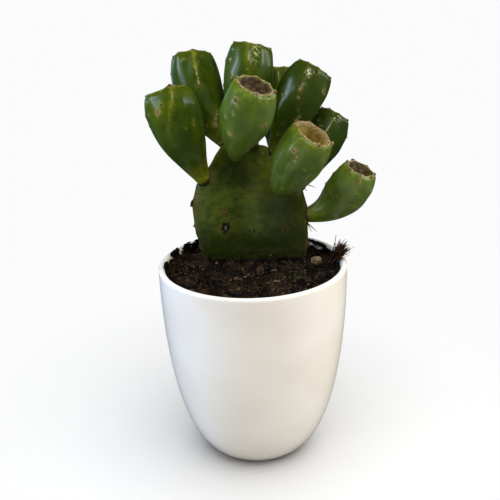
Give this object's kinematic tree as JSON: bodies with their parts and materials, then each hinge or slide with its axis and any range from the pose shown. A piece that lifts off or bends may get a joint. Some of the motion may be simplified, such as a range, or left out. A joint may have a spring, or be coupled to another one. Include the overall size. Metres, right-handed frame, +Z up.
{
  "type": "potted paddle cactus",
  "caption": "Prickly-pear cactus in a round tapering glazed pot: a flat upright pad with barrel-shaped cupped fruits around its top, standing in potting soil.",
  "frame": {"origin": "centre of the pot's flat underside, on the pot's axis", "axes": "+Z up along the pot's axis; -Y towards the front, the side that the pad's broad face and the two paler fruits face; +X to the viewer's right"},
  "size_m": [0.156, 0.1453, 0.2858],
  "materials": {
    "pot_glaze": "white glaze, glossy",
    "soil": "damp dark potting mix, crumbly",
    "pad_skin": "dull waxy plant skin",
    "fruit_skin_dark": "glossy waxy plant skin",
    "fruit_skin_pale": "glossy plant skin with a pale bloom",
    "pebble": "rough grit",
    "bark": "dry bark",
    "dry_root": "dry root",
    "root_fibre": "dry matted fibre"
  },
  "bodies": {
    "root": {"pot": "pot_glaze", "soil": "soil", "main_pad": "pad_skin", "fruit_left_front": "fruit_skin_dark", "fruit_back_left": "fruit_skin_dark", "fruit_top_centre": "fruit_skin_dark", "fruit_front_centre": "fruit_skin_pale", "fruit_back_centre": "fruit_skin_dark", "fruit_right_top": "fruit_skin_dark", "fruit_right_front": "fruit_skin_pale", "fruit_right_back": "fruit_skin_dark", "fruit_right_low": "fruit_skin_pale", "pebble": "pebble", "bark_chip": "bark", "twig": "dry_root", "rootlet": "dry_root", "root_tuft": "root_fibre"}
  },
  "joints": []
}
